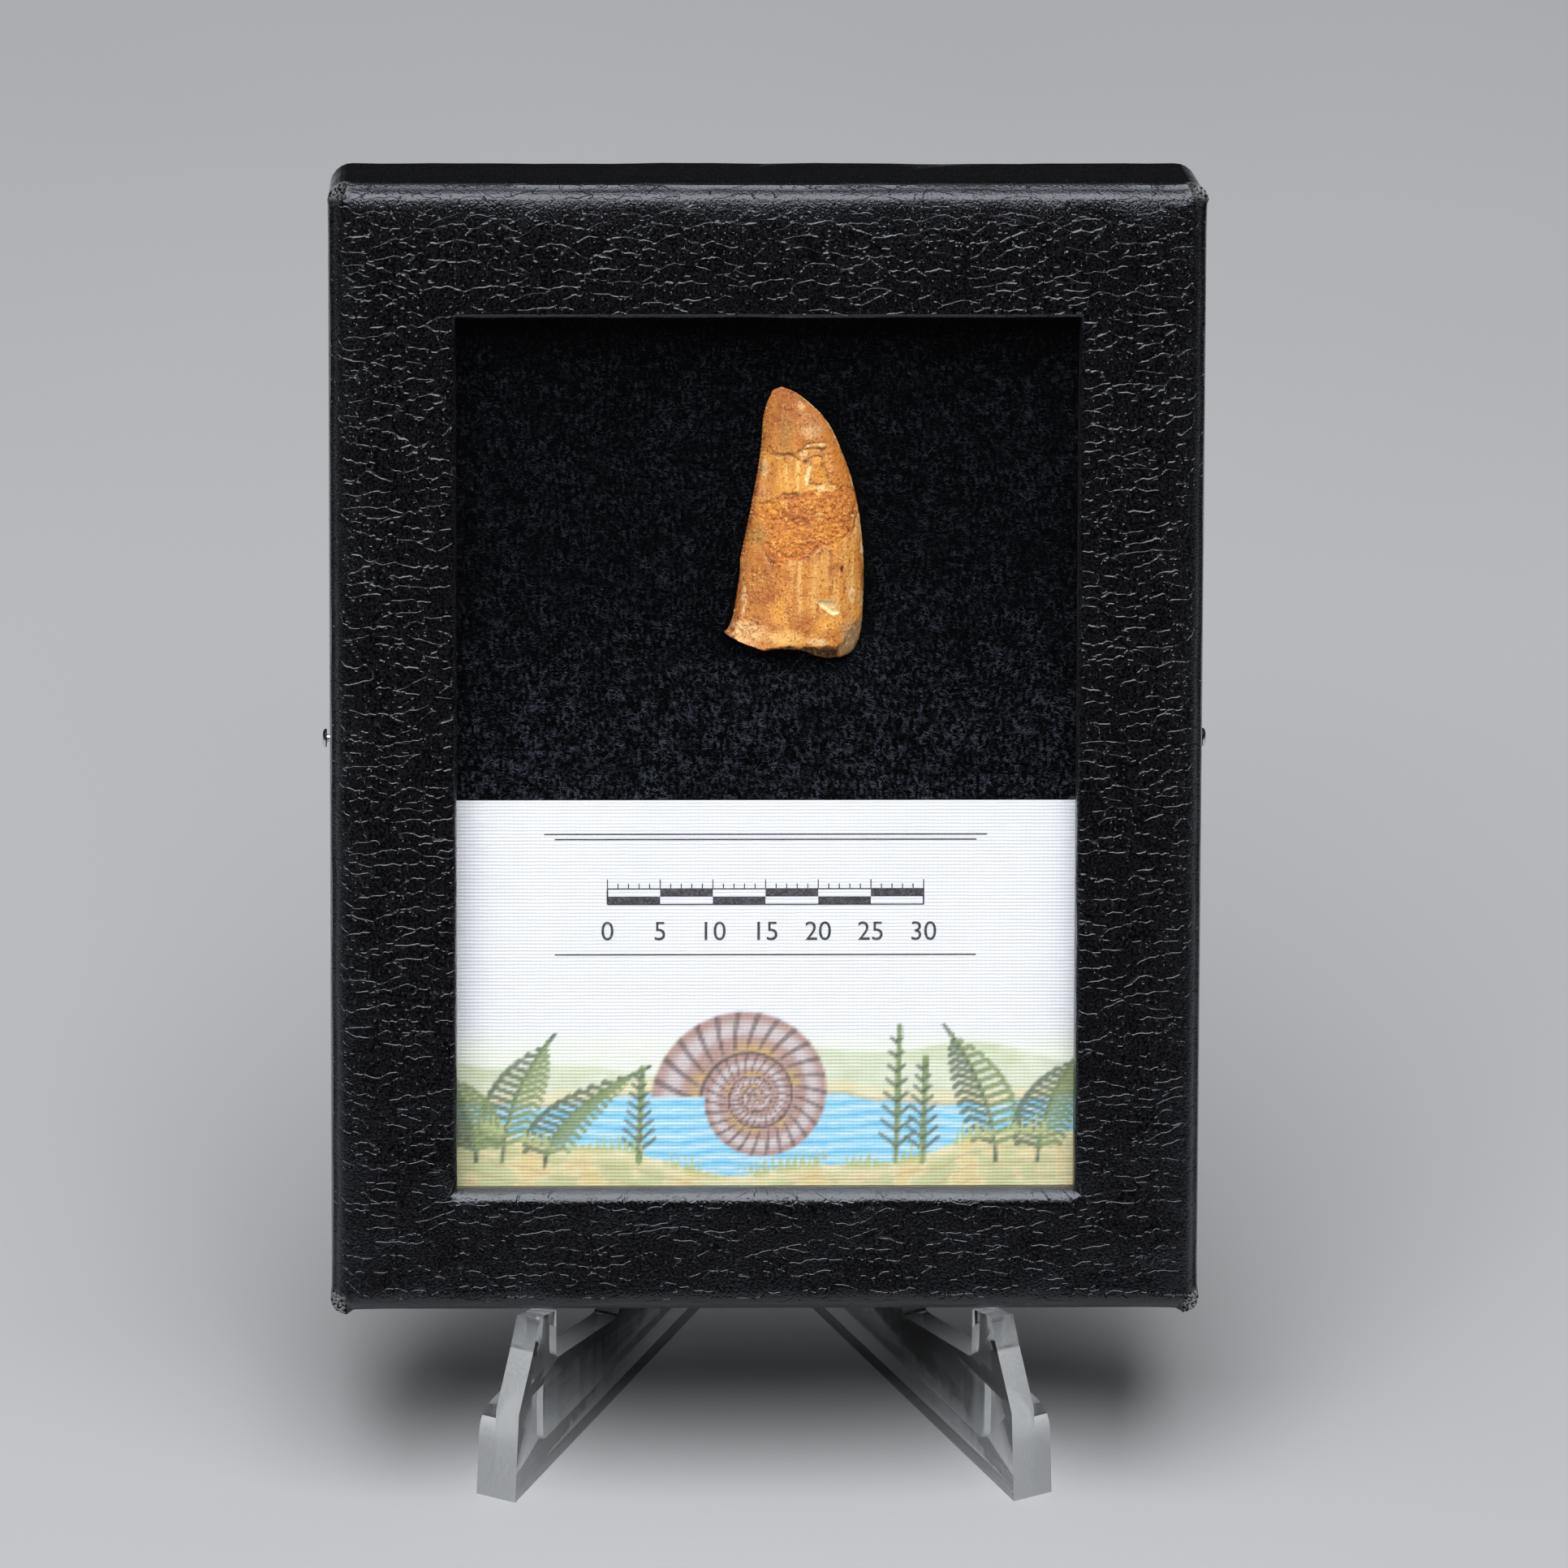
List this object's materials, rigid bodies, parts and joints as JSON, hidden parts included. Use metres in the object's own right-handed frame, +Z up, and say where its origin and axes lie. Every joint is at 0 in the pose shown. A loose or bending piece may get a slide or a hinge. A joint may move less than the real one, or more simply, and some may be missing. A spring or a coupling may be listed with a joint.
{
  "type": "fossil dinosaur tooth in a display case",
  "caption": "Curved fossil tooth crown on black batting behind the pane of a small leatherette specimen case that leans back on a clear crossed easel.",
  "frame": {"origin": "on the table, in the middle of the object's bounding box", "axes": "+Z up, the tall way of the case; the case's window faces -Y and leans back towards +Y"},
  "size_m": [0.0842, 0.0586, 0.1201],
  "materials": {
    "fossil": "satin enamel over gritty matrix",
    "batting": "black fibre pad",
    "card": "white linen-textured card",
    "glass": "clear polished",
    "leatherette": "black crinkled leatherette",
    "board": "black paper-covered board",
    "pin_steel": "bright plated",
    "clear_plastic": "clear moulded, glossy"
  },
  "bodies": {
    "root": {"tooth": "fossil", "batting": "batting", "label_card": "card", "glass_pane": "glass", "lid_frame": "leatherette", "tray": "board", "pin_left": "pin_steel", "pin_right": "pin_steel", "stand_left_half": "clear_plastic", "stand_right_half": "clear_plastic"}
  },
  "joints": []
}
